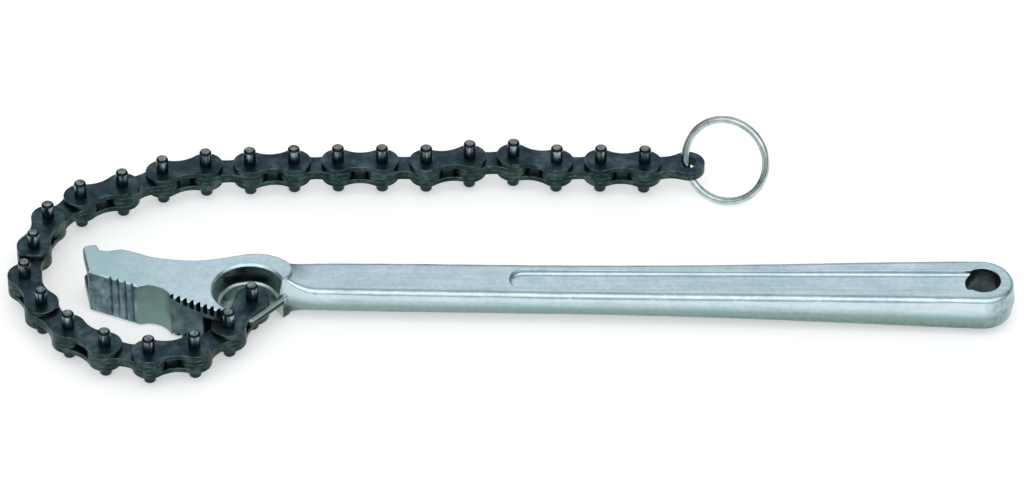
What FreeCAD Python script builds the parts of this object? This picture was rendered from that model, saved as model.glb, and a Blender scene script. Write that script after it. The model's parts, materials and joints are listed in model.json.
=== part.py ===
import FreeCAD, Part
import math
import os

# Chain wrench: forged wrench body, roller-less leaf chain with long pins, wire pull ring.
# Units are millimetres and degrees.
# Shape coordinates are measured from the anchor pin's axis, at the chain's mid-plane:
# +X runs along the handle, +Y to the back of the head, +Z up.

# Position of the anchor pin's axis in the row frame, and height of the mid-plane.
PIVOT_X = -90.75
PIVOT_Y = -25.79
MID_HEIGHT = 9.9

# Chain. 5/8 inch pitch.
PITCH = 15.875
PIN_RADIUS = 2.2
PIN_LENGTH = 2 * MID_HEIGHT
PIN_END_ROUND = 0.9
OUTER_PLATE_THICKNESS = 2.0
OUTER_PLATE_INNER_FACE = 1.9
INNER_PLATE_OUTER_FACE = 1.85
INNER_PLATE_GAP = 0.1
LOBE_RADIUS = 6.1
WAIST_HALF_WIDTH = 4.15
PLATE_EDGE_ROUND = 0.25
RUNNING_CLEARANCE = 0.05
RING_HOLE_RADIUS = 3.05

# Direction of each link from its pin to the next, counter-clockwise from +X.
# The last one is the end link, which ends at the ring's hole.
LINK_DIRECTIONS = [
    -117.5, -135.5, -169.0, 167.5, 146.5, 130.5, 116.0, 83.0,
    76.0, 48.0, 24.0, 28.5, 15.5, 4.5, 5.5, 3.0,
    1.5, 1.0, 10.5, 4.0, -10.0, 1.5, -0.5, 7.5,
]
PIN_COUNT = len(LINK_DIRECTIONS)

# Pull ring. It stands in the end link's hole, leaning back, with its lowest point at the
# height of the pins' lower ends.
RING_MEAN_RADIUS = 15.25
RING_WIRE_RADIUS = 1.4
RING_YAW = -22.0
RING_LEAN = 22.7
RING_CENTRE_RISE = 6.1
RING_OFFSET = -0.5
RING_SEAM_ANGLE = 125.0
RING_SEAM_GAP = 0.2

# Head.
HEAD_HALF_THICKNESS = 9.2
TOP_EDGE_ROUND = 0.8
JAW_END = (-10.5, -13.0)
JAW_CORNER = (-57.4, 6.5)
TIP_BACK_LEFT = (-60.2, 18.5)
TIP_CORNER_MIDDLE = (-59.6, 20.0)
HORN_LEFT = (-58.3, 20.5)
HORN_RIGHT = (-55.7, 21.0)
HOOK_SEAT = (-54.3, 18.2)
HOOK_SEAT_END = (-51.6, 17.8)
BACK_EDGE = [
    (-47.3, 18.8), (-41.5, 17.3), (-36.5, 15.3), (-28.0, 13.9), (-18.8, 13.7),
    (-9.0, 15.7), (1.0, 17.8), (7.4, 16.6), (11.6, 14.2),
]
PAD_END_BULGE = (13.7, 8.7)
PAD_FRONT_CORNER = (11.4, 4.5)
JAW_EDGE_CHAMFER = 0.6

# Jaw teeth, placed along the jaw line from its pivot end. The coarse ones are V notches in
# the jaw's upper and lower edges, each with its own height. The fine ones are V grooves over
# the jaw's full height.
COARSE_FIRST = 0.4
COARSE_PITCH = 2.6
COARSE_DEPTH = 1.6
COARSE_MOUTH = 1.9
COARSE_HEIGHTS = [3.5, 3.5, 3.4, 3.2, 3.0, 2.6, 1.9, 1.2]
FINE_GROOVES = 4
FINE_FIRST = 34.0
FINE_PITCH = 2.8
FINE_DEPTH = 0.8
FINE_MOUTH = 1.5
SCALLOP_CENTRE = (-36.2, -8.8)
SCALLOP_RADIUS = 8.7
SCALLOP_EDGE_ROUND = 0.4

# Slot in the tip, cut by a disc, which takes the chain's plates when a pin is hooked.
TIP_SLOT_HALF_HEIGHT = 4.3
TIP_SLOT_CENTRE = (-66.0, 29.1)
TIP_SLOT_RADIUS = 22.0

# Pockets above and below the web, with drafted walls.
POCKET_CENTRE = (-1.0, -1.1)
POCKET_RIM_RADIUS = 12.5
POCKET_FLOOR_RADIUS = 11.1
POCKET_FLOOR_ROUND = 1.6
POCKET_RIM_CHAMFER = 0.7
WEB_HALF_THICKNESS = 1.8
WEB_NOSE_RADIUS = 9.3
WEB_EDGE_ROUND = 1.2
WEB_SIDE_DISTANCE = 6.6
WEB_SIDE_ANGLE = 48.0
WEB_NECK_REACH = 14.0
WEB_NECK_FRONT = -6.0

# Relief in the jaw's end, where the first two links swing.
RELIEF_RADIUS = 22.6
RELIEF_HALF_HEIGHT = 4.15
RELIEF_START_ANGLE = -148.0
RELIEF_END_ANGLE = -20.0

# Handle. Its sides have the forging's draft, and meet in a parting line at mid-thickness.
# Each station is x, front y and back y at the parting line, half thickness, edge round.
HANDLE_DRAFT = 7.0
NECK_END = (24.0, 2.15, 19.15, 5.0, 2.2)
CHANNEL_START = (90.0, 2.25, 20.15, 4.95, 2.2)
HANDLE_END = (256.1, 0.5, 24.0, 7.2, 2.2)
NECK_STATIONS = [
    (10.5, 4.2, 15.1, 8.9, 1.5),
    (13.6, 3.7, 16.4, 7.2, 1.8),
    (16.0, 3.2, 17.5, 6.1, 2.0),
    (19.0, 2.6, 18.5, 5.3, 2.1),
    NECK_END,
]
SHANK_STATIONS = [
    NECK_END,
    CHANNEL_START,
    (143.0, 2.27, 21.08, 5.15, 2.2),
    (200.0, 1.65, 22.75, 6.1, 2.2),
    HANDLE_END,
]
HANG_HOLE_RADIUS = 6.2
CHANNEL_WIDTH = 9.8
CHANNEL_DEPTH = 2.0
CHANNEL_FLOOR_ROUND = 1.5
HANDLE_RIM_ROUND = 0.4

# How far cutters pass the surfaces that they cut.
OVERCUT = 1.0

# Tolerances for finding edges by where they lie.
FLAT_TOLERANCE = 0.001
LINE_TOLERANCE = 0.01
RIM_REACH = 0.1
RIM_HEIGHT_TOLERANCE = 0.15


def vec(x, y, z=0.0):
    return FreeCAD.Vector(x, y, z)


def prism(face, low, high):
    """Extrude a flat face, drawn at z = 0, from z = low to z = high."""
    placed = face.copy()
    placed.translate(vec(0, 0, low))
    return placed.extrude(vec(0, 0, high - low))


def polygon_face(points):
    corners = [vec(x, y) for x, y in points]
    corners.append(corners[0])
    return Part.Face(Part.makePolygon(corners))


def disc(radius, centre, low, high):
    return Part.makeCylinder(radius, high - low, vec(centre[0], centre[1], low))


def edge_middle(edge):
    return edge.valueAt((edge.FirstParameter + edge.LastParameter) / 2)


def flat_edges(shape, height):
    """Edges that lie flat at one height."""
    found = []
    for edge in shape.Edges:
        box = edge.BoundBox
        if max(abs(box.ZMin - height), abs(box.ZMax - height)) < FLAT_TOLERANCE:
            found.append(edge)
    return found


# ---------------------------------------------------------------- chain

def pin_centres():
    """Centres of the pins, then the centre of the ring's hole."""
    x, y = 0.0, 0.0
    centres = [(x, y)]
    for direction in LINK_DIRECTIONS:
        x += PITCH * math.cos(math.radians(direction))
        y += PITCH * math.sin(math.radians(direction))
        centres.append((x, y))
    return centres


def plate_outline():
    """Hourglass outline, first hole at the origin and second hole at x = PITCH."""
    half = PITCH / 2
    waist_radius = (half ** 2 + WAIST_HALF_WIDTH ** 2 - LOBE_RADIUS ** 2) / (
        2 * (LOBE_RADIUS - WAIST_HALF_WIDTH))
    waist_centre = WAIST_HALF_WIDTH + waist_radius
    share = LOBE_RADIUS / (LOBE_RADIUS + waist_radius)
    near_x = half * share
    near_y = waist_centre * share
    upper = Part.Arc(
        vec(near_x, near_y), vec(half, WAIST_HALF_WIDTH), vec(PITCH - near_x, near_y))
    lower = Part.Arc(
        vec(PITCH - near_x, -near_y), vec(half, -WAIST_HALF_WIDTH), vec(near_x, -near_y))
    far_lobe = Part.Arc(
        vec(PITCH - near_x, near_y), vec(PITCH + LOBE_RADIUS, 0), vec(PITCH - near_x, -near_y))
    near_lobe = Part.Arc(
        vec(near_x, -near_y), vec(-LOBE_RADIUS, 0), vec(near_x, near_y))
    edges = [curve.toShape() for curve in (upper, far_lobe, lower, near_lobe)]
    return Part.Face(Part.Wire(edges))


def plate(low, high, near_hole, far_hole):
    """One chain plate with both outer rims rounded."""
    blank = prism(plate_outline(), low, high)
    rims = flat_edges(blank, low) + flat_edges(blank, high)
    blank = blank.makeFillet(PLATE_EDGE_ROUND, rims)
    holes = [
        disc(near_hole, (0, 0), low - OVERCUT, high + OVERCUT),
        disc(far_hole, (PITCH, 0), low - OVERCUT, high + OVERCUT),
    ]
    return blank.cut(holes)


def chain_pin():
    pin = Part.makeCylinder(PIN_RADIUS, PIN_LENGTH, vec(0, 0, -PIN_LENGTH / 2))
    ends = flat_edges(pin, -PIN_LENGTH / 2) + flat_edges(pin, PIN_LENGTH / 2)
    return pin.makeFillet(PIN_END_ROUND, ends)


def placed_link(shape, centre, direction):
    placed = shape.copy()
    placed.rotate(vec(0, 0), vec(0, 0, 1), direction)
    placed.translate(vec(centre[0], centre[1]))
    return placed


def pull_ring(hole):
    """Bent wire ring with a butt seam, threaded through the end link's hole."""
    sweep = 360.0 - math.degrees(RING_SEAM_GAP / RING_MEAN_RADIUS)
    ring = Part.makeTorus(
        RING_MEAN_RADIUS, RING_WIRE_RADIUS, vec(0, 0), vec(0, 0, 1), -180, 180, sweep)
    ring.rotate(vec(0, 0), vec(0, 0, 1), RING_SEAM_ANGLE)
    # Stand the ring up: its plane's X stays level and its plane's Y points up and back.
    ring.rotate(vec(0, 0), vec(1, 0, 0), 90.0 - RING_LEAN)
    ring.rotate(vec(0, 0), vec(0, 0, 1), RING_YAW)
    reach = math.sqrt(RING_MEAN_RADIUS ** 2 - RING_CENTRE_RISE ** 2)
    back = RING_CENTRE_RISE * math.sin(math.radians(RING_LEAN))
    up = RING_CENTRE_RISE * math.cos(math.radians(RING_LEAN))
    yaw = math.radians(RING_YAW)
    centre = vec(
        hole[0] + RING_OFFSET + reach * math.cos(yaw) - back * math.sin(yaw),
        hole[1] + reach * math.sin(yaw) + back * math.cos(yaw),
        up)
    ring.translate(centre)
    return ring


# ---------------------------------------------------------------- wrench body

def along_jaw(distance, depth=0.0):
    """Point on the jaw line, from its pivot end; depth goes into the metal."""
    dx = JAW_CORNER[0] - JAW_END[0]
    dy = JAW_CORNER[1] - JAW_END[1]
    length = math.hypot(dx, dy)
    ux, uy = dx / length, dy / length
    return (JAW_END[0] + ux * distance + uy * depth, JAW_END[1] + uy * distance - ux * depth)


def head_outline():
    back = Part.BSplineCurve()
    back.interpolate([vec(x, y) for x, y in BACK_EDGE])
    corner = Part.Arc(vec(*TIP_BACK_LEFT), vec(*TIP_CORNER_MIDDLE), vec(*HORN_LEFT))
    pad_end = Part.Arc(vec(*BACK_EDGE[-1]), vec(*PAD_END_BULGE), vec(*PAD_FRONT_CORNER))
    edges = [
        Part.makeLine(vec(*JAW_END), vec(*JAW_CORNER)),
        Part.makeLine(vec(*JAW_CORNER), vec(*TIP_BACK_LEFT)),
        corner.toShape(),
        Part.makeLine(vec(*HORN_LEFT), vec(*HORN_RIGHT)),
        Part.makeLine(vec(*HORN_RIGHT), vec(*HOOK_SEAT)),
        Part.makeLine(vec(*HOOK_SEAT), vec(*HOOK_SEAT_END)),
        Part.makeLine(vec(*HOOK_SEAT_END), vec(*BACK_EDGE[0])),
        back.toShape(),
        pad_end.toShape(),
        Part.makeLine(vec(*PAD_FRONT_CORNER), vec(*JAW_END)),
    ]
    return Part.Face(Part.Wire(edges))


def is_on_line(point, start, end):
    """True where a point lies on the line through start and end."""
    along_x, along_y = end[0] - start[0], end[1] - start[1]
    area = along_x * (point.y - start[1]) - along_y * (point.x - start[0])
    return abs(area) / math.hypot(along_x, along_y) < LINE_TOLERANCE


def is_front_edge(edge):
    """True for the straight front edges: the jaw line and the pocket's mouth."""
    middle = edge_middle(edge)
    on_jaw = is_on_line(middle, JAW_END, JAW_CORNER)
    return on_jaw or is_on_line(middle, JAW_END, PAD_FRONT_CORNER)


def head_pad():
    height = HEAD_HALF_THICKNESS
    pad = prism(head_outline(), -height, height)
    edges = flat_edges(pad, height) + flat_edges(pad, -height)
    rims = [edge for edge in edges if not is_front_edge(edge)]
    return pad.makeFillet(TOP_EDGE_ROUND, rims)


def jaw_chamfers():
    """Bevels on the jaw's upper and lower front edges."""
    length = math.hypot(JAW_CORNER[0] - JAW_END[0], JAW_CORNER[1] - JAW_END[1])
    start = along_jaw(-OVERCUT)
    finish = along_jaw(length + OVERCUT)
    inner = along_jaw(-OVERCUT, JAW_EDGE_CHAMFER + OVERCUT)
    outer = along_jaw(-OVERCUT, -OVERCUT)
    tools = []
    for side in (1, -1):
        edge_height = side * HEAD_HALF_THICKNESS
        clear_height = edge_height + side * OVERCUT
        cut_height = edge_height - side * (JAW_EDGE_CHAMFER + OVERCUT)
        triangle = Part.makePolygon([
            vec(inner[0], inner[1], clear_height),
            vec(outer[0], outer[1], clear_height),
            vec(outer[0], outer[1], cut_height),
            vec(inner[0], inner[1], clear_height),
        ])
        tools.append(Part.Face(triangle).extrude(vec(finish[0] - start[0], finish[1] - start[1])))
    return tools


def groove(distance, depth, mouth, low, high):
    """V groove across the jaw face, from z = low to z = high."""
    half = mouth / 2
    flare = half + OVERCUT
    points = [
        along_jaw(distance, depth),
        along_jaw(distance - half, 0.0),
        along_jaw(distance - flare, -OVERCUT),
        along_jaw(distance + flare, -OVERCUT),
        along_jaw(distance + half, 0.0),
    ]
    return prism(polygon_face(points), low, high)


def pocket():
    """Drafted pocket above the web, with a rounded floor corner and a bevelled rim."""
    depth = HEAD_HALF_THICKNESS - WEB_HALF_THICKNESS
    slope = (POCKET_RIM_RADIUS - POCKET_FLOOR_RADIUS) / depth
    height = depth + OVERCUT
    wall = Part.makeCone(
        POCKET_FLOOR_RADIUS, POCKET_FLOOR_RADIUS + slope * height, height,
        vec(POCKET_CENTRE[0], POCKET_CENTRE[1], WEB_HALF_THICKNESS))
    wall = wall.makeFillet(POCKET_FLOOR_ROUND, flat_edges(wall, WEB_HALF_THICKNESS))
    rise = POCKET_RIM_CHAMFER + OVERCUT
    bevel = Part.makeCone(
        POCKET_RIM_RADIUS, POCKET_RIM_RADIUS + rise, rise,
        vec(POCKET_CENTRE[0], POCKET_CENTRE[1], HEAD_HALF_THICKNESS - POCKET_RIM_CHAMFER))
    return wall.fuse(bevel)


def web():
    """Web that carries the anchor pin, with a rounded front edge."""
    low, high = -WEB_HALF_THICKNESS, WEB_HALF_THICKNESS
    nose = disc(WEB_NOSE_RADIUS, (0, 0), low, high)
    bridge = Part.makeBox(
        WEB_NECK_REACH, WEB_NOSE_RADIUS - WEB_NECK_FRONT, high - low,
        vec(0, WEB_NECK_FRONT, low))
    reach = WEB_NOSE_RADIUS + WEB_NECK_REACH
    beyond = Part.makeBox(
        2 * reach, reach, high - low + 2 * OVERCUT,
        vec(-reach, -reach - WEB_SIDE_DISTANCE, low - OVERCUT))
    beyond.rotate(vec(0, 0), vec(0, 0, 1), WEB_SIDE_ANGLE)
    blank = nose.fuse(bridge).cut(beyond).removeSplitter()
    rims = flat_edges(blank, low) + flat_edges(blank, high)
    return blank.makeFillet(WEB_EDGE_ROUND, rims)


def relief():
    """Sector round the anchor pin that the first two links sweep."""
    low, high = -RELIEF_HALF_HEIGHT, RELIEF_HALF_HEIGHT
    span = RELIEF_END_ANGLE - RELIEF_START_ANGLE
    outer = Part.makeCylinder(RELIEF_RADIUS, high - low, vec(0, 0, low), vec(0, 0, 1), span)
    outer.rotate(vec(0, 0), vec(0, 0, 1), RELIEF_START_ANGLE)
    return outer.cut(disc(WEB_NOSE_RADIUS, (0, 0), low - OVERCUT, high + OVERCUT))


def half_section(station, side):
    """Front (side -1) or back (side 1) edges of the handle's section, from its upper face
    down to its lower face: round, drafted side, parting line, drafted side, round."""
    x, front, back, half, rounding = station
    parting = front if side < 0 else back
    draft = math.radians(HANDLE_DRAFT)
    flank_height = half - rounding + rounding * math.sin(draft)
    flank = parting - side * flank_height * math.tan(draft)
    centre = flank - side * rounding * math.cos(draft)
    middle = math.radians(90.0 + HANDLE_DRAFT) / 2
    bulge = centre + side * rounding * math.cos(middle)
    rise = half - rounding + rounding * math.sin(middle)
    return [
        Part.Arc(vec(x, centre, half), vec(x, bulge, rise), vec(x, flank, flank_height)).toShape(),
        Part.makeLine(vec(x, flank, flank_height), vec(x, parting, 0)),
        Part.makeLine(vec(x, parting, 0), vec(x, flank, -flank_height)),
        Part.Arc(vec(x, flank, -flank_height), vec(x, bulge, -rise), vec(x, centre, -half)).toShape(),
    ]


def ends(edges):
    """Upper and lower ends of a half section."""
    return edges[0].Vertexes[0].Point, edges[-1].Vertexes[-1].Point


def section_wire(station):
    """Closed section across the handle at one station."""
    front = half_section(station, -1)
    back = half_section(station, 1)
    front_top, front_bottom = ends(front)
    back_top, back_bottom = ends(back)
    edges = front + [Part.makeLine(front_bottom, back_bottom)]
    edges += back[::-1] + [Part.makeLine(back_top, front_top)]
    return Part.Wire(edges)


def handle_end():
    """Round end: half of the end section turned about the hanging hole's axis."""
    x, y = hang_hole_centre()
    half = HANDLE_END[3]
    side = half_section(HANDLE_END, -1)
    top, bottom = ends(side)
    outline = side + [
        Part.makeLine(bottom, vec(x, y, -half)),
        Part.makeLine(vec(x, y, -half), vec(x, y, half)),
        Part.makeLine(vec(x, y, half), top),
    ]
    face = Part.Face(Part.Wire(outline))
    return face.revolve(vec(x, y), vec(0, 0, 1), 180)


def handle():
    neck = Part.makeLoft([section_wire(s) for s in NECK_STATIONS], True, False)
    shank = Part.makeLoft([section_wire(s) for s in SHANK_STATIONS], True, False)
    return neck.fuse([shank, handle_end()])


def hang_hole_centre():
    x, front, back = HANDLE_END[:3]
    return (x, (front + back) / 2)


def channel():
    """Cutter for the channel in the handle's upper face, which runs into the hanging hole."""
    start_x, front, back, start_half = CHANNEL_START[:4]
    start_y = (front + back) / 2
    end_x, end_y = hang_hole_centre()
    end_half = HANDLE_END[3]
    length = end_x - start_x
    skew = math.degrees(math.atan2(end_y - start_y, length))
    rise = math.degrees(math.atan2(end_half - start_half, length))
    half = CHANNEL_WIDTH / 2
    run = length - half
    height = CHANNEL_DEPTH + OVERCUT
    bar = Part.makeBox(run, CHANNEL_WIDTH, height, vec(-run, -half, 0))
    blank = bar.fuse(Part.makeCylinder(half, height, vec(-run, 0, 0))).removeSplitter()
    blank = blank.makeFillet(CHANNEL_FLOOR_ROUND, flat_edges(blank, 0))
    blank.rotate(vec(0, 0), vec(0, 1, 0), -rise)
    blank.rotate(vec(0, 0), vec(0, 0, 1), skew)
    blank.translate(vec(end_x, end_y, end_half - CHANNEL_DEPTH))
    return blank


def surface_height(x):
    """Height of the handle's upper face at x."""
    for near, far in zip(SHANK_STATIONS, SHANK_STATIONS[1:]):
        if x <= far[0]:
            share = (x - near[0]) / (far[0] - near[0])
            return near[3] + share * (far[3] - near[3])
    return HANDLE_END[3]


def handle_rims(body):
    """Rims of the channels and of the hanging hole, on the handle's upper and lower faces."""
    start_x = CHANNEL_START[0]
    start_y = (CHANNEL_START[1] + CHANNEL_START[2]) / 2
    hole_x, hole_y = hang_hole_centre()
    rims = []
    for edge in body.Edges:
        middle = edge_middle(edge)
        share = (middle.x - start_x) / (hole_x - start_x)
        line_y = start_y + share * (hole_y - start_y)
        by_channel = 0 <= share <= 1 and abs(middle.y - line_y) < CHANNEL_WIDTH / 2 + RIM_REACH
        from_hole = math.hypot(middle.x - hole_x, middle.y - hole_y)
        by_hole = from_hole < HANG_HOLE_RADIUS + RIM_REACH
        on_surface = abs(abs(middle.z) - surface_height(middle.x)) < RIM_HEIGHT_TOLERANCE
        if on_surface and (by_channel or by_hole):
            rims.append(edge)
    return rims


def scallop_rims(body):
    """Upper and lower edges of the scallop in the jaw."""
    rims = []
    for edge in flat_edges(body, HEAD_HALF_THICKNESS) + flat_edges(body, -HEAD_HALF_THICKNESS):
        middle = edge_middle(edge)
        distance = math.hypot(middle.x - SCALLOP_CENTRE[0], middle.y - SCALLOP_CENTRE[1])
        if abs(distance - SCALLOP_RADIUS) < LINE_TOLERANCE:
            rims.append(edge)
    return rims


def mirrored(shape):
    """Copy below the mid-plane."""
    return shape.mirror(vec(0, 0), vec(0, 0, 1))


def wrench_body():
    body = head_pad().fuse([handle(), web()])
    body = body.cut(relief())
    height = HEAD_HALF_THICKNESS + OVERCUT
    tools = [pocket(), mirrored(pocket()), channel(), mirrored(channel())]
    tools += jaw_chamfers()
    tools.append(disc(SCALLOP_RADIUS, SCALLOP_CENTRE, -height, height))
    tools.append(disc(
        TIP_SLOT_RADIUS, TIP_SLOT_CENTRE, -TIP_SLOT_HALF_HEIGHT, TIP_SLOT_HALF_HEIGHT))
    tools.append(disc(HANG_HOLE_RADIUS, hang_hole_centre(), -height, height))
    tools.append(disc(PIN_RADIUS + RUNNING_CLEARANCE, (0, 0), -height, height))
    for number, notch_height in enumerate(COARSE_HEIGHTS):
        notch = groove(
            COARSE_FIRST + number * COARSE_PITCH, COARSE_DEPTH, COARSE_MOUTH,
            HEAD_HALF_THICKNESS - notch_height, height)
        tools += [notch, mirrored(notch)]
    for number in range(FINE_GROOVES):
        tools.append(groove(
            FINE_FIRST + number * FINE_PITCH, FINE_DEPTH, FINE_MOUTH, -height, height))
    for tool in tools:
        body = body.cut(tool)
    body = body.removeSplitter()
    body = body.makeFillet(HANDLE_RIM_ROUND, handle_rims(body))
    return body.makeFillet(SCALLOP_EDGE_ROUND, scallop_rims(body))


# ---------------------------------------------------------------- export

def save(name, shape):
    placed = shape.copy()
    placed.translate(vec(PIVOT_X, PIVOT_Y, MID_HEIGHT))
    placed.exportStep("parts/" + name + ".step")


def build():
    os.makedirs("parts", exist_ok=True)
    save("wrench_body", wrench_body())
    centres = pin_centres()
    outer_top = OUTER_PLATE_INNER_FACE + OUTER_PLATE_THICKNESS
    upper = plate(OUTER_PLATE_INNER_FACE, outer_top, PIN_RADIUS, PIN_RADIUS)
    lower = mirrored(upper)
    near_pin = chain_pin()
    far_pin = near_pin.copy()
    far_pin.translate(vec(PITCH, 0))
    pins = Part.makeCompound([near_pin, far_pin])
    turning = PIN_RADIUS + RUNNING_CLEARANCE
    inner_low = INNER_PLATE_GAP / 2
    inner_plate = plate(inner_low, INNER_PLATE_OUTER_FACE, turning, turning)
    end_plate = plate(inner_low, INNER_PLATE_OUTER_FACE, turning, RING_HOLE_RADIUS)
    inner_pair = Part.makeCompound([inner_plate, mirrored(inner_plate)])
    end_pair = Part.makeCompound([end_plate, mirrored(end_plate)])
    for index in range(PIN_COUNT):
        number = "%02d" % (index // 2 + 1)
        centre, direction = centres[index], LINK_DIRECTIONS[index]
        if index % 2 == 0:
            save("outer_plate_upper_" + number, placed_link(upper, centre, direction))
            save("outer_plate_lower_" + number, placed_link(lower, centre, direction))
            save("link_pins_" + number, placed_link(pins, centre, direction))
        else:
            pair = end_pair if index == PIN_COUNT - 1 else inner_pair
            save("inner_plates_" + number, placed_link(pair, centre, direction))
    save("pull_ring", pull_ring(centres[PIN_COUNT]))


build()
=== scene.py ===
import json
import math

import bpy
from mathutils import Matrix, Vector

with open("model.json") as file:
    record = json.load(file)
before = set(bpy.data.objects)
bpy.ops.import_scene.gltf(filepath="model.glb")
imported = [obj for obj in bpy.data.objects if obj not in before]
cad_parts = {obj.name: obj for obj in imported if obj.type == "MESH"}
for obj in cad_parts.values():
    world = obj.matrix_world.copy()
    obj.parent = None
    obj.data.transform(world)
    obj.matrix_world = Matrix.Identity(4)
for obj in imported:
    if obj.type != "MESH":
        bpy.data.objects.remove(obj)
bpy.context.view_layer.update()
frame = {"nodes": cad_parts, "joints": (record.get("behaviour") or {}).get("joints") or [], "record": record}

# Camera: where it looks, from how far, and how it is turned. Metres and degrees, with the
# lens and the sensor in millimetres.
CAMERA_TARGET = (-0.0001, 0.0174, 0.0)
CAMERA_DISTANCE = 1.8442
CAMERA_ELEVATION = 41.46
CAMERA_ROLL = 0.98
CAMERA_LENS = 181.3
CAMERA_REACH = 20.0
SENSOR_WIDTH = 36.0

# The anchor pin's axis, at the chain's mid-plane. It is the first chain joint's place.
ANCHOR = next(
    joint["pos_m"] for joint in frame["joints"] if joint["name"] == "chain_joint_01")
MID_HEIGHT = ANCHOR[2]


def from_anchor(across, back):
    """A place in plan, given from the anchor pin's axis, in metres."""
    return (ANCHOR[0] + across, ANCHOR[1] + back)


# Jaw: its line runs from the pivot end to the tip's corner, and inward is into the head.
JAW_START = from_anchor(-0.0105, -0.0130)
JAW_CORNER = from_anchor(-0.0574, 0.0065)
JAW_LENGTH = math.dist(JAW_START, JAW_CORNER)
JAW_ALONG = (
    (JAW_CORNER[0] - JAW_START[0]) / JAW_LENGTH,
    (JAW_CORNER[1] - JAW_START[1]) / JAW_LENGTH)
JAW_INWARD = (JAW_ALONG[1], -JAW_ALONG[0])
COARSE_LENGTH = 0.0196
SCALLOP_CENTRE = from_anchor(-0.0362, -0.0088)
SCALLOP_RADIUS = 0.0088

# Tip, pocket and web. Heights are from the mid-plane.
TIP_EDGE_X = ANCHOR[0] - 0.05685
TIP_SLOT_CENTRE = from_anchor(-0.0660, 0.0291)
TIP_SLOT_RADIUS = 0.0221
TIP_SLOT_TOP = 0.0044
POCKET_CENTRE = from_anchor(-0.0010, -0.0011)
POCKET_RADIUS = 0.0125
POCKET_TOP = 0.0085
WEB_EDGE_RISE = 0.0011
WEB_HALF_THICKNESS = 0.0018

# Neck and handle.
NECK_START_X = ANCHOR[0] + 0.01225
NECK_TOP = 0.0078
PAD_FRONT_Y = ANCHOR[1] + 0.00929
HOLE_CENTRE = from_anchor(0.2561, 0.01225)
HOLE_RADIUS = 0.0063
END_X = ANCHOR[0] + 0.25625

# The plate's darker tone, in its polishing lines and its speckle.
PLATE_SHADE = (0.36, 0.48, 0.52)

# Widths over which one finish passes into the next, at an edge and at a rounded rim.
EDGE_FADE = 0.0002
RIM_FADE = 0.0003

# Bands: where a finish starts, and where it is full. The first ones go by how level a face
# is, 1 for a flat face and 0 for an upright one.
ROUND_FROM_UPRIGHT = (0.3, 0.5)
ROUND_FROM_FLAT = (0.97, 0.88)
UPRIGHT_BAND = (0.55, 0.4)
PIN_RIM_BAND = (0.2, 0.35)
PIN_FLAT_BAND = (0.96, 0.99)
# Across the tool, in metres.
HANDLE_LINES_X = (NECK_START_X, NECK_START_X + 0.02)
DULL_TIP_X = (ANCHOR[0] - 0.03125, ANCHOR[0] - 0.05125)
END_CAP_X = (END_X, END_X + 0.005)
# Painted shade where the neck steps down, then painted shadow at the pad's lower corner.
STEP_X = (NECK_START_X + 0.009, NECK_START_X + 0.002)
STEP_Y = (PAD_FRONT_Y - 0.002, PAD_FRONT_Y + 0.004)
STEP_HEIGHT = (NECK_TOP + 0.001, NECK_TOP)
CORNER_X = (NECK_START_X + 0.003, NECK_START_X)
CORNER_Y = (PAD_FRONT_Y, PAD_FRONT_Y - 0.003)
JAW_END_X = (JAW_START[0] + 0.001, JAW_START[0])
JAW_DEPTH = (0.0085, 0.0065)
# Painted shade in the coarse notches, and the chain's painted shadow over the coarse teeth.
NOTCH_DEPTH = (0.0001, 0.0006)
COARSE_END = (COARSE_LENGTH, COARSE_LENGTH - 0.0005)
# Up the tool, in metres from the mid-plane.
# Painted highlight on the upper sides, then the painted shade below the mid-plane: where it starts and is
# full, then where it deepens.
PALE_SIDE_RISE = (0.001, 0.0035)
LOWER_SHADE_RISE = (0.0022, -0.0012)
DARK_RISE = (-0.0018, -0.0055)
CORNER_RISE = (-0.0015, -0.0045)
# Painted shade on the web's edge and on the lower pin shafts.
WEB_EDGE_BAND = (WEB_EDGE_RISE, WEB_EDGE_RISE - 0.0006)
SHADED_SHAFT_RISE = (0.0085, 0.0045)

# Floor.
FLOOR_SIZE = 6.0
FLOOR_GAP = 0.0001
FLOOR_COLOUR = (0.9, 0.9, 0.9)
FLOOR_ROUGHNESS = 0.9
FLOOR_SPECULAR = 0.1
FLOOR_GLOW_COLOUR = (1.0, 1.0, 1.0)
FLOOR_GLOW = 0.38

# Sky brightness by angle, from the back horizon (0) over the top to the front one (180).
# A colour ramp holds at most 1, so the levels are scaled by the strength. The sky is dimmer
# towards the tool's two ends, beyond the end start.
SKY_STRENGTH = 1.8
SKY_LEVELS = [
    (0.0, 0.24), (24.0, 0.28), (33.0, 0.52), (46.0, 0.54), (58.0, 0.34), (92.0, 0.34),
    (104.0, 0.84), (142.0, 0.88), (152.0, 0.66), (162.0, 0.34), (180.0, 0.3),
]
SKY_TINT = (0.96, 0.985, 1.0)
SKY_END_START = 0.45
SKY_END_LEVEL = 0.25

# Sockets of the Mix node, by number, because its sockets for colours and for plain values
# share their names.
COLOUR_FIRST, COLOUR_SECOND, COLOUR_RESULT = 6, 7, 2
VALUE_FIRST, VALUE_SECOND, VALUE_RESULT = 2, 3, 0


# ---------------------------------------------------------------- node helpers

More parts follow.
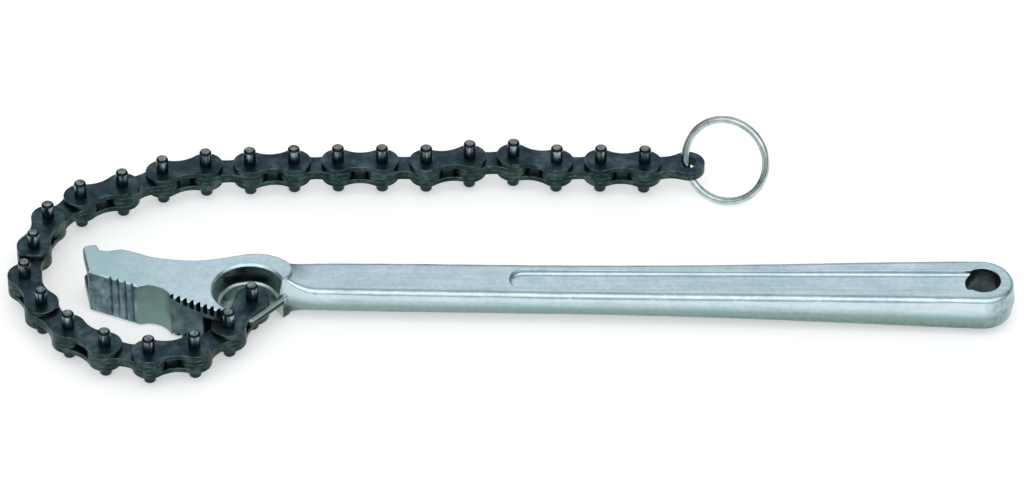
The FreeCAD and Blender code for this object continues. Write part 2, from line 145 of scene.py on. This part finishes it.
class Nodes:
    """A node tree, with short calls for what the materials and the surroundings share."""

    def __init__(self, tree):
        self.tree = tree

    def add(self, kind, **settings):
        node = self.tree.nodes.new(kind)
        for key, value in settings.items():
            setattr(node, key, value)
        return node

    def link(self, source, target):
        self.tree.links.new(source, target)

    def feed(self, value, socket):
        """Sets a socket from a number, a colour or another node's output."""
        if isinstance(value, tuple):
            socket.default_value = (*value, 1.0)
        elif isinstance(value, (int, float)):
            socket.default_value = value
        else:
            self.link(value, socket)

    def split(self, vector):
        node = self.add("ShaderNodeSeparateXYZ")
        self.link(vector, node.inputs[0])
        return node.outputs[0], node.outputs[1], node.outputs[2]

    def noise(self, vector, scale, detail=3.0, roughness=0.5):
        node = self.add("ShaderNodeTexNoise")
        node.inputs["Scale"].default_value = scale
        node.inputs["Detail"].default_value = detail
        node.inputs["Roughness"].default_value = roughness
        self.link(vector, node.inputs["Vector"])
        return node.outputs["Fac"]

    def stretch(self, vector, scale):
        node = self.add("ShaderNodeMapping")
        node.inputs["Scale"].default_value = scale
        self.link(vector, node.inputs["Vector"])
        return node.outputs["Vector"]

    def remap(self, value, from_low, from_high, to_low=0.0, to_high=1.0):
        """Straight-line change of range, held at its two ends."""
        node = self.add("ShaderNodeMapRange")
        self.link(value, node.inputs["Value"])
        for key, number in (("From Min", from_low), ("From Max", from_high),
                            ("To Min", to_low), ("To Max", to_high)):
            node.inputs[key].default_value = number
        return node.outputs["Result"]

    def math(self, operation, first, second=0.0):
        node = self.add("ShaderNodeMath", operation=operation)
        self.feed(first, node.inputs[0])
        self.feed(second, node.inputs[1])
        return node.outputs["Value"]

    def times(self, *values):
        product = values[0]
        for value in values[1:]:
            product = self.math("MULTIPLY", product, value)
        return product

    def plane(self, at, origin, normal):
        """Distance of a point in plan from the line through origin, along normal."""
        x, y, _ = self.split(at)
        across = self.math("MULTIPLY", self.math("SUBTRACT", x, origin[0]), normal[0])
        back = self.math("MULTIPLY", self.math("SUBTRACT", y, origin[1]), normal[1])
        return self.math("ADD", across, back)

    def reach(self, at, centre):
        """Distance of a point in plan from centre."""
        x, y, _ = self.split(at)
        across = self.math("SUBTRACT", x, centre[0])
        back = self.math("SUBTRACT", y, centre[1])
        squares = self.math("ADD", self.times(across, across), self.times(back, back))
        return self.math("SQRT", squares)

    def ramp(self, value, stops):
        node = self.add("ShaderNodeValToRGB")
        elements = node.color_ramp.elements
        while len(elements) < len(stops):
            elements.new(0.5)
        for element, (position, colour) in zip(elements, stops):
            element.position = position
            element.color = (*colour, 1.0)
        self.link(value, node.inputs["Fac"])
        return node.outputs["Color"]

    def mix(self, factor, first, second):
        node = self.add("ShaderNodeMix", data_type="RGBA")
        self.feed(factor, node.inputs["Factor"])
        self.feed(first, node.inputs[COLOUR_FIRST])
        self.feed(second, node.inputs[COLOUR_SECOND])
        return node.outputs[COLOUR_RESULT]

    def blend(self, factor, first, second):
        node = self.add("ShaderNodeMix", data_type="FLOAT")
        self.feed(factor, node.inputs["Factor"])
        self.feed(first, node.inputs[VALUE_FIRST])
        self.feed(second, node.inputs[VALUE_SECOND])
        return node.outputs[VALUE_RESULT]


class Metal(Nodes):
    """A metal material: its nodes, where a point lies and how level its face is."""

    def __init__(self, name):
        self.material = bpy.data.materials.new(name)
        self.material.use_nodes = True
        super().__init__(self.material.node_tree)
        self.shader = self.tree.nodes["Principled BSDF"]
        self.shader.inputs["Metallic"].default_value = 1.0
        place = self.add("ShaderNodeTexCoord")
        self.at = place.outputs["Object"]
        self.levelness = self.math("ABSOLUTE", self.split(place.outputs["Normal"])[2])

    def rounded(self):
        """1 on rounded or bevelled rims, 0 on flat faces and on upright walls."""
        return self.times(
            self.remap(self.levelness, *ROUND_FROM_UPRIGHT),
            self.off_flat())

    def off_flat(self):
        """1 on everything but flat faces."""
        return self.remap(self.levelness, *ROUND_FROM_FLAT)

    def upright(self):
        """1 on upright walls."""
        return self.remap(self.levelness, *UPRIGHT_BAND)

    def within(self, centre, radius, fade):
        """1 inside a circle in plan, fading to 0 outside it."""
        return self.remap(self.reach(self.at, centre), radius + fade, radius)

    def finish(self, colour, roughness, height, depth):
        self.link(colour, self.shader.inputs["Base Color"])
        self.link(roughness, self.shader.inputs["Roughness"])
        bump = self.add("ShaderNodeBump")
        bump.inputs["Distance"].default_value = depth
        self.link(height, bump.inputs["Height"])
        self.link(bump.outputs["Normal"], self.shader.inputs["Normal"])
        return self.material


# ---------------------------------------------------------------- materials

def wrench_steel():
    """Satin plate on a forging with a bare machined jaw; painted shade darkens the pocket and other
    recesses, the lower half, the neck step, the pad's corner and the coarse teeth, and a painted highlight
    pales the upper sides.
    """
    metal = Metal("plated_steel")
    x, y, z = metal.split(metal.at)
    rise = metal.math("SUBTRACT", z, MID_HEIGHT)
    height = metal.math("ABSOLUTE", rise)
    blotch = metal.noise(metal.at, 260.0, detail=4.0, roughness=0.65)

    # Plate: cloudy, with polishing lines, stronger along the handle. The sides' upper half is a painted
    # highlight, painted paler. Painted shade darkens it below the mid-plane, where the neck steps down from
    # the head, and at the pad's lower corner, painted nearly black as shadow. It is also darker towards the
    # tip and round the handle's end.
    cloud = metal.noise(metal.at, 60.0, detail=5.0, roughness=0.65)
    lines = metal.noise(metal.stretch(metal.at, (0.05, 1.0, 1.0)), 900.0, detail=3.0)
    speckle = metal.noise(metal.at, 520.0, detail=4.0, roughness=0.65)
    on_handle = metal.remap(x, *HANDLE_LINES_X, 0.1, 0.38)
    side = metal.upright()
    plate = metal.ramp(cloud, [(0.3, (0.41, 0.56, 0.61)), (0.5, (0.50, 0.64, 0.70)),
                               (0.7, (0.59, 0.72, 0.78))])
    plate = metal.mix(metal.times(metal.remap(lines, 0.5, 0.7), on_handle), plate, (0.68, 0.78, 0.84))
    plate = metal.mix(metal.times(metal.remap(lines, 0.5, 0.3), on_handle), plate, PLATE_SHADE)
    plate = metal.mix(metal.remap(speckle, 0.52, 0.7, 0.0, 0.4), plate, (0.66, 0.77, 0.83))
    plate = metal.mix(metal.remap(speckle, 0.48, 0.32, 0.0, 0.4), plate, PLATE_SHADE)
    plate = metal.mix(metal.remap(x, *DULL_TIP_X, 0.0, 0.75), plate, (0.35, 0.52, 0.55))
    # Painted highlight: the upright sides are paler in their upper half.
    plate = metal.mix(metal.times(side, metal.remap(rise, *PALE_SIDE_RISE, 0.0, 0.5)), plate,
                      (0.66, 0.73, 0.74))
    # Painted shade: from just above the mid-plane downward the plate darkens, most towards the bottom, with
    # lighter specks.
    lower_shade = metal.mix(metal.remap(rise, *DARK_RISE), (0.235, 0.335, 0.31), (0.12, 0.175, 0.16))
    lower_shade = metal.mix(metal.remap(speckle, 0.4, 0.65, 0.0, 0.4), lower_shade, (0.31, 0.41, 0.39))
    plate = metal.mix(metal.remap(rise, *LOWER_SHADE_RISE), plate, lower_shade)
    plate = metal.mix(metal.times(side, metal.remap(x, *END_CAP_X, 0.0, 0.75)), plate,
                      metal.ramp(speckle, [(0.35, (0.15, 0.22, 0.22)), (0.65, (0.34, 0.43, 0.45))]))
    # Painted shade where the neck steps down from the head.
    step_shade = metal.times(
        metal.remap(x, *STEP_X),
        metal.remap(y, *STEP_Y),
        metal.remap(height, *STEP_HEIGHT, 0.0, 0.8))
    plate = metal.mix(step_shade, plate, (0.17, 0.25, 0.28))
    # Painted shadow: the pad's lower front corner on the sides, nearly black.
    corner = metal.times(
        metal.remap(x, *CORNER_X),
        metal.remap(y, *CORNER_Y),
        metal.remap(rise, *CORNER_RISE),
        side)
    plate = metal.mix(corner, plate, (0.05, 0.075, 0.07))

    # Machined jaw: upright grain, darker than the plate and greener in the scallop. Over the coarse teeth it
    # is painted darker as the chain's shadow, and the coarse notches are painted nearly black as shade.
    grain = metal.noise(metal.stretch(metal.at, (1.0, 1.0, 0.05)), 1600.0, detail=4.0)
    shade = metal.math("ADD", metal.times(grain, 0.25), metal.times(blotch, 0.75))
    bare = metal.ramp(shade, [(0.34, (0.055, 0.10, 0.11)), (0.5, (0.155, 0.24, 0.265)),
                              (0.66, (0.32, 0.42, 0.45))])
    in_scallop = metal.within(SCALLOP_CENTRE, SCALLOP_RADIUS, RIM_FADE)
    bare = metal.mix(metal.times(in_scallop, 0.8), bare, (0.195, 0.30, 0.275))
    behind_jaw = metal.plane(metal.at, JAW_START, JAW_INWARD)
    coarse = metal.remap(metal.plane(metal.at, JAW_START, JAW_ALONG), *COARSE_END)
    # Painted shadow of the chain: the coarse teeth darker.
    bare = metal.mix(metal.times(coarse, 0.5), bare, (0.045, 0.075, 0.075))
    # Painted shade: the coarse notches nearly black.
    notch_shade = metal.times(coarse, metal.remap(behind_jaw, *NOTCH_DEPTH))
    bare = metal.mix(notch_shade, bare, (0.012, 0.022, 0.022))
    at_jaw = metal.times(
        metal.remap(behind_jaw, *JAW_DEPTH),
        metal.remap(x, *JAW_END_X))
    at_tip = metal.remap(x, TIP_EDGE_X, TIP_EDGE_X - RIM_FADE)
    worn_edge = metal.times(metal.rounded(), metal.remap(speckle, 0.45, 0.6, 0.0, 0.6))
    jaw = metal.times(
        metal.math("MAXIMUM", at_jaw, at_tip),
        metal.math("ADD", metal.upright(), worn_edge))

    # Tip slot, pocket, web and hanging hole: painted shade in these recesses, with the pocket's rounded
    # rims left lighter than that shade.
    pocket = metal.times(
        metal.within(POCKET_CENTRE, POCKET_RADIUS, RIM_FADE),
        metal.remap(height, POCKET_TOP + EDGE_FADE, POCKET_TOP))
    # Painted shade in the pocket: its walls darkened, its web floor darker still.
    wall = metal.ramp(blotch, [(0.3, (0.24, 0.31, 0.28)), (0.7, (0.50, 0.58, 0.55))])
    web = metal.ramp(blotch, [(0.34, (0.045, 0.08, 0.07)), (0.66, (0.21, 0.29, 0.27))])
    pocket_shade = metal.mix(metal.upright(), web, wall)
    # The pocket's rounded rims are left lighter than the painted shade.
    pocket_shade = metal.mix(metal.rounded(), pocket_shade, (0.42, 0.5, 0.5))
    # Painted shade: the web's upright edge nearly black.
    web_edge_shade = metal.times(
        metal.remap(rise, *WEB_EDGE_BAND),
        metal.remap(height, WEB_HALF_THICKNESS + EDGE_FADE, WEB_HALF_THICKNESS),
        metal.off_flat())
    pocket_shade = metal.mix(web_edge_shade, pocket_shade, (0.025, 0.04, 0.036))
    # Painted shade on the hanging hole's wall.
    hole = metal.times(metal.within(HOLE_CENTRE, HOLE_RADIUS, EDGE_FADE), metal.upright())
    # Painted shade inside the tip slot.
    slot = metal.times(
        metal.within(TIP_SLOT_CENTRE, TIP_SLOT_RADIUS, EDGE_FADE),
        metal.remap(height, TIP_SLOT_TOP + EDGE_FADE, TIP_SLOT_TOP))

    colour = metal.mix(jaw, metal.mix(pocket, plate, pocket_shade), bare)
    colour = metal.mix(hole, colour, metal.ramp(blotch, [(0.3, (0.03, 0.045, 0.05)),
                                                         (0.7, (0.11, 0.14, 0.145))]))
    colour = metal.mix(slot, colour, (0.03, 0.05, 0.05))
    rough = metal.remap(metal.noise(metal.at, 180.0), 0.3, 0.7, 0.15, 0.25)
    rough = metal.blend(jaw, rough, metal.remap(grain, 0.3, 0.7, 0.34, 0.5))
    pits = metal.noise(metal.at, 900.0, detail=4.0)
    plate_relief = metal.math("ADD", metal.times(pits, 0.6), metal.times(lines, 0.4))
    height_map = metal.blend(jaw, plate_relief, grain)
    return metal.finish(colour, rough, height_map, depth=0.00006)


def chain_steel():
    """Oiled black steel plates: upright sides painted darker and greener as shade, and rounded rims painted
    lighter in patches as highlights.
    """
    metal = Metal("chain_plates")
    cloud = metal.noise(metal.at, 190.0, detail=5.0, roughness=0.65)
    colour = metal.ramp(cloud, [(0.32, (0.018, 0.036, 0.046)), (0.5, (0.038, 0.066, 0.081)),
                                (0.66, (0.088, 0.13, 0.146))])
    shaded_sides = metal.ramp(cloud, [(0.32, (0.006, 0.018, 0.015)), (0.52, (0.022, 0.045, 0.040)),
                              (0.7, (0.085, 0.12, 0.11))])
    # Painted shade: upright sides darker and greener than the tops.
    colour = metal.mix(metal.upright(), colour, shaded_sides)
    # Painted highlight: rounded rims lighter in patches.
    rim_highlight = metal.remap(metal.noise(metal.at, 500.0, detail=4.0), 0.42, 0.62)
    colour = metal.mix(metal.times(metal.rounded(), rim_highlight, 0.8), colour, (0.17, 0.22, 0.225))
    rough = metal.remap(metal.noise(metal.at, 350.0, detail=4.0), 0.3, 0.7, 0.3, 0.46)
    return metal.finish(colour, rough, metal.noise(metal.at, 1300.0, detail=4.0), depth=0.00005)


def pin_steel():
    """Dark pins: rounded rims painted black as shade, lighter cloudy flat ends, a streaky upper shaft
    painted bright as a highlight, and the rest of the shaft painted dark as shade.
    """
    metal = Metal("chain_pins")
    rise = metal.math("SUBTRACT", metal.split(metal.at)[2], MID_HEIGHT)
    streaks = metal.noise(metal.stretch(metal.at, (1.0, 1.0, 0.12)), 900.0, detail=4.0)
    # Painted highlight: bright streaks on the shaft, left showing at its top.
    shaft = metal.ramp(streaks, [(0.34, (0.035, 0.055, 0.06)), (0.5, (0.12, 0.165, 0.175)),
                                 (0.64, (0.40, 0.46, 0.47))])
    # Painted shade: the shaft darkens below its top, and the lower pin ends are dark.
    shaft = metal.mix(metal.remap(rise, *SHADED_SHAFT_RISE), shaft, (0.03, 0.045, 0.05))
    cloud = metal.noise(metal.at, 700.0, detail=3.0)
    ends = metal.ramp(cloud, [(0.35, (0.07, 0.10, 0.105)), (0.62, (0.27, 0.32, 0.33))])
    # Painted shade: the pins' rounded rims black.
    colour = metal.mix(metal.remap(metal.levelness, *PIN_RIM_BAND), shaft, (0.012, 0.02, 0.022))
    colour = metal.mix(metal.remap(metal.levelness, *PIN_FLAT_BAND), colour, ends)
    rough = metal.remap(metal.noise(metal.at, 500.0), 0.3, 0.7, 0.2, 0.32)
    return metal.finish(colour, rough, metal.noise(metal.at, 1300.0, detail=4.0), depth=0.00003)


def ring_steel():
    """Bright wire, a little cloudy, with duller patches."""
    metal = Metal("ring_wire")
    cloud = metal.noise(metal.at, 220.0, detail=5.0, roughness=0.6)
    colour = metal.ramp(cloud, [(0.3, (0.33, 0.40, 0.40)), (0.52, (0.52, 0.58, 0.58)),
                                (0.72, (0.66, 0.70, 0.71))])
    rough = metal.remap(metal.noise(metal.at, 500.0), 0.3, 0.7, 0.08, 0.18)
    return metal.finish(colour, rough, metal.noise(metal.at, 1500.0), depth=0.00002)


def floor_material():
    """A pale matt floor that glows a little, so that the contact shadow stays soft."""
    material = bpy.data.materials.new("floor")
    material.use_nodes = True
    shader = material.node_tree.nodes["Principled BSDF"]
    shader.inputs["Base Color"].default_value = (*FLOOR_COLOUR, 1.0)
    shader.inputs["Roughness"].default_value = FLOOR_ROUGHNESS
    shader.inputs["Specular IOR Level"].default_value = FLOOR_SPECULAR
    shader.inputs["Emission Color"].default_value = (*FLOOR_GLOW_COLOUR, 1.0)
    shader.inputs["Emission Strength"].default_value = FLOOR_GLOW
    return material


def finish_frame():
    """Gives every CAD node its material, by the record's slot."""
    made = {
        "plated_steel": wrench_steel(),
        "chain_plates": chain_steel(),
        "chain_pins": pin_steel(),
        "ring_wire": ring_steel(),
    }
    for part in frame["record"]["subparts"]:
        node = frame["nodes"][part["node"]]
        node.data.materials.clear()
        node.data.materials.append(made[part["material_slot"]])


# ---------------------------------------------------------------- stage

def make_floor():
    half = FLOOR_SIZE / 2
    corners = [(-half, -half, 0), (half, -half, 0), (half, half, 0), (-half, half, 0)]
    mesh = bpy.data.meshes.new("floor")
    mesh.from_pydata(corners, [], [(0, 1, 2, 3)])
    floor = bpy.data.objects.new("floor", mesh)
    floor.location.z = -FLOOR_GAP
    bpy.context.scene.collection.objects.link(floor)
    mesh.materials.append(floor_material())


def studio_world():
    """Soft studio light that wraps over the tool from the back horizon to the front one."""
    world = bpy.data.worlds.new("studio")
    world.use_nodes = True
    nodes = Nodes(world.node_tree)
    x, y, z = nodes.split(nodes.add("ShaderNodeTexCoord").outputs["Generated"])
    turn = nodes.math("DIVIDE", nodes.math("ARCTAN2", z, y), math.pi)
    stops = [(angle / 180.0, tuple(level * part for part in SKY_TINT))
             for angle, level in SKY_LEVELS]
    sky = nodes.ramp(turn, stops)
    ends = nodes.remap(nodes.math("ABSOLUTE", x), SKY_END_START, 1.0, 1.0, SKY_END_LEVEL)
    background = nodes.tree.nodes["Background"]
    nodes.link(sky, background.inputs["Color"])
    nodes.link(nodes.times(ends, SKY_STRENGTH), background.inputs["Strength"])
    bpy.context.scene.world = world


def make_camera():
    data = bpy.data.cameras.new("camera")
    data.lens = CAMERA_LENS
    data.sensor_width = SENSOR_WIDTH
    data.clip_end = CAMERA_REACH
    camera = bpy.data.objects.new("camera", data)
    elevation = math.radians(CAMERA_ELEVATION)
    back = Vector((0.0, -math.cos(elevation), math.sin(elevation)))
    place = Vector(CAMERA_TARGET) + back * CAMERA_DISTANCE
    turn = (-back).to_track_quat("-Z", "Y").to_matrix().to_4x4()
    roll = Matrix.Rotation(math.radians(CAMERA_ROLL), 4, "Z")
    camera.matrix_world = Matrix.Translation(place) @ turn @ roll
    bpy.context.scene.collection.objects.link(camera)
    bpy.context.scene.camera = camera


bpy.context.scene.view_settings.view_transform = "Standard"
finish_frame()
make_floor()
studio_world()
make_camera()
